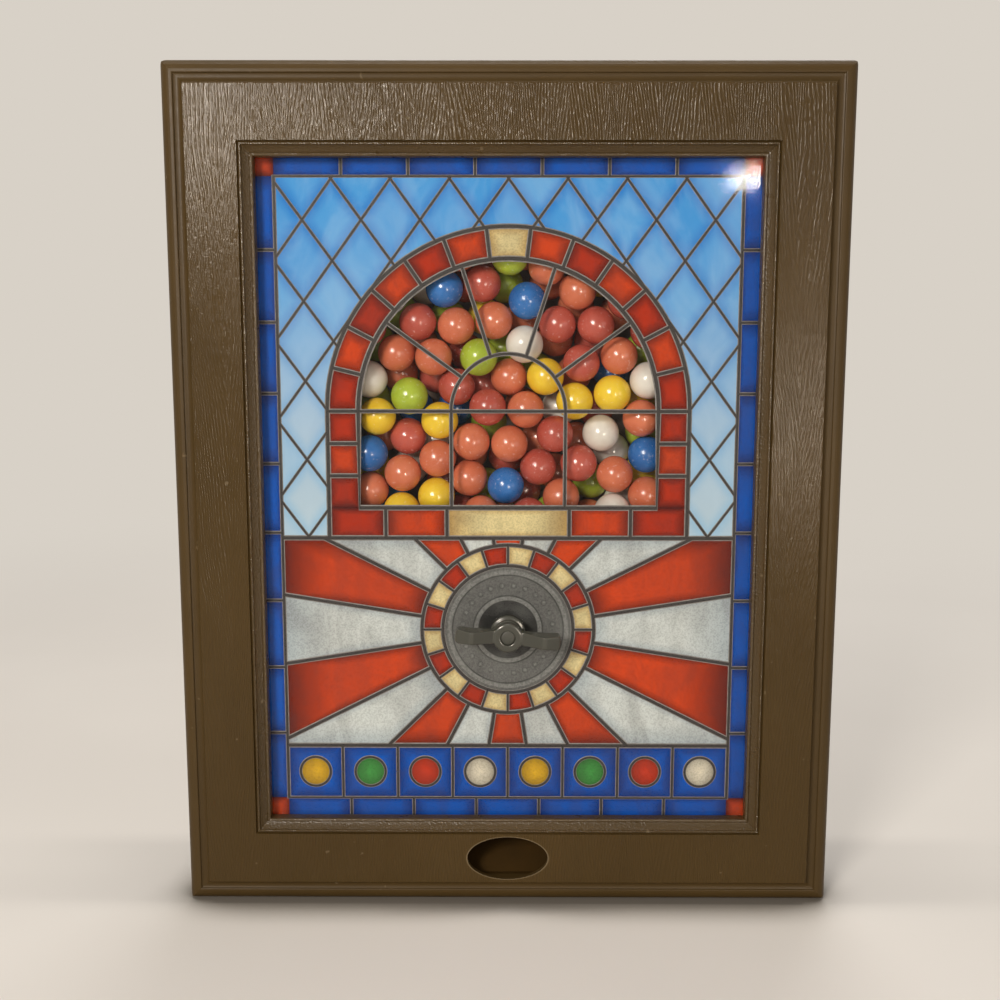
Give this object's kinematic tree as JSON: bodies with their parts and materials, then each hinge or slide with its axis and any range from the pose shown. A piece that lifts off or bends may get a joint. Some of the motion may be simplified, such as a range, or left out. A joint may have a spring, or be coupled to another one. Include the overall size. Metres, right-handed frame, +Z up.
{
  "type": "wall-mounted gumball dispenser",
  "caption": "Wall-hung gumball dispenser in a moulded wood-grain picture frame, with a clear panel, turning wing handle, oval delivery opening and rear fill door.",
  "frame": {"origin": "on the wall plane, midway between the round entries of the two keyholes", "axes": "+Z up, the front faces -Y, +X to the viewer's right"},
  "size_m": [0.28, 0.0642, 0.356],
  "materials": {
    "brown_plastic": "moulded, with a pressed wood grain",
    "clear_plastic": "clear and glossy",
    "printed_film": "printed, glossy",
    "pale_plastic": "plain moulded",
    "grey_plastic": "satin, moulded",
    "wheel_plastic": "plain moulded",
    "steel": "plated",
    "gum_red": "candy shell",
    "gum_coral": "candy shell",
    "gum_yellow": "candy shell",
    "gum_blue": "candy shell",
    "gum_green": "candy shell",
    "gum_white": "candy shell"
  },
  "bodies": {
    "cabinet": {"front_frame": "brown_plastic", "clear_panel": "clear_plastic", "picture_film": "printed_film", "chassis_plate": "pale_plastic", "chassis_screws": "steel", "hopper": "brown_plastic", "wheel_housing": "pale_plastic", "chute": "pale_plastic", "mechanism_screws": "steel", "delivery_tray": "brown_plastic", "tray_screws": "steel", "gumballs_red": "gum_red", "gumballs_coral": "gum_coral", "gumballs_yellow": "gum_yellow", "gumballs_blue": "gum_blue", "gumballs_green": "gum_green", "gumballs_white": "gum_white", "front_bush": "wheel_plastic", "rear_housing": "brown_plastic", "housing_screws": "steel", "hinge_pin": "steel"},
    "rotor": {"handle": "grey_plastic", "hub_cap": "grey_plastic", "handle_screw": "steel", "drive_shaft": "steel", "dispensing_wheel": "wheel_plastic", "thrust_washer": "steel", "shaft_clip": "steel"},
    "door": {"fill_door": "brown_plastic"}
  },
  "joints": [
    {"name": "handle_turn", "type": "hinge", "parent": "cabinet", "child": "rotor", "pos_m": [0, -0.045, -0.167], "axis": [0, 1, 0], "continuous": true},
    {"name": "door_swing", "type": "hinge", "parent": "cabinet", "child": "door", "pos_m": [0, -0.0025, -0.0035], "axis": [-1, 0, 0], "range_deg": [0, 90]}
  ]
}
